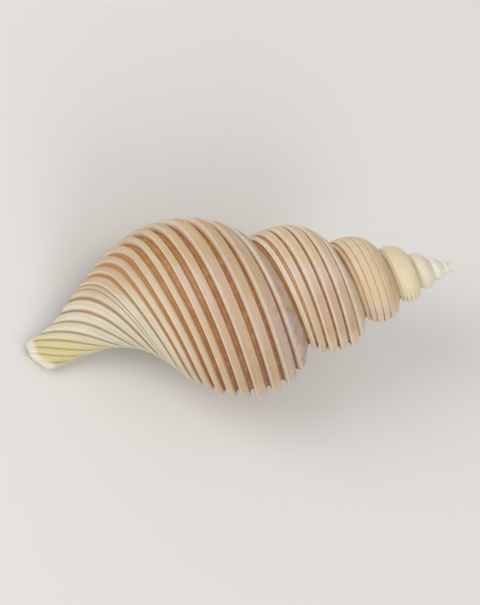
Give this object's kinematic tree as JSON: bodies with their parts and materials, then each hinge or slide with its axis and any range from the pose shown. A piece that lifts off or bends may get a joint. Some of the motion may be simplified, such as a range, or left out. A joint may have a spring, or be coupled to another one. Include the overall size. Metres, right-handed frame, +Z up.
{
  "type": "ancistrolepis vietnamensis shell",
  "caption": "Whelk shell with flat spiral cords, a tall round-whorled spire, a wide aperture and a short open canal, lying on its aperture.",
  "frame": {"origin": "bottom centre of the shell's box as it lies on its aperture", "axes": "+X towards the tip of the spire, +Y towards the outer lip, +Z up through the back of the shell"},
  "size_m": [0.0764, 0.0342, 0.0293],
  "materials": {
    "shell": "satin"
  },
  "bodies": {
    "root": {"shell": "shell"}
  },
  "joints": []
}
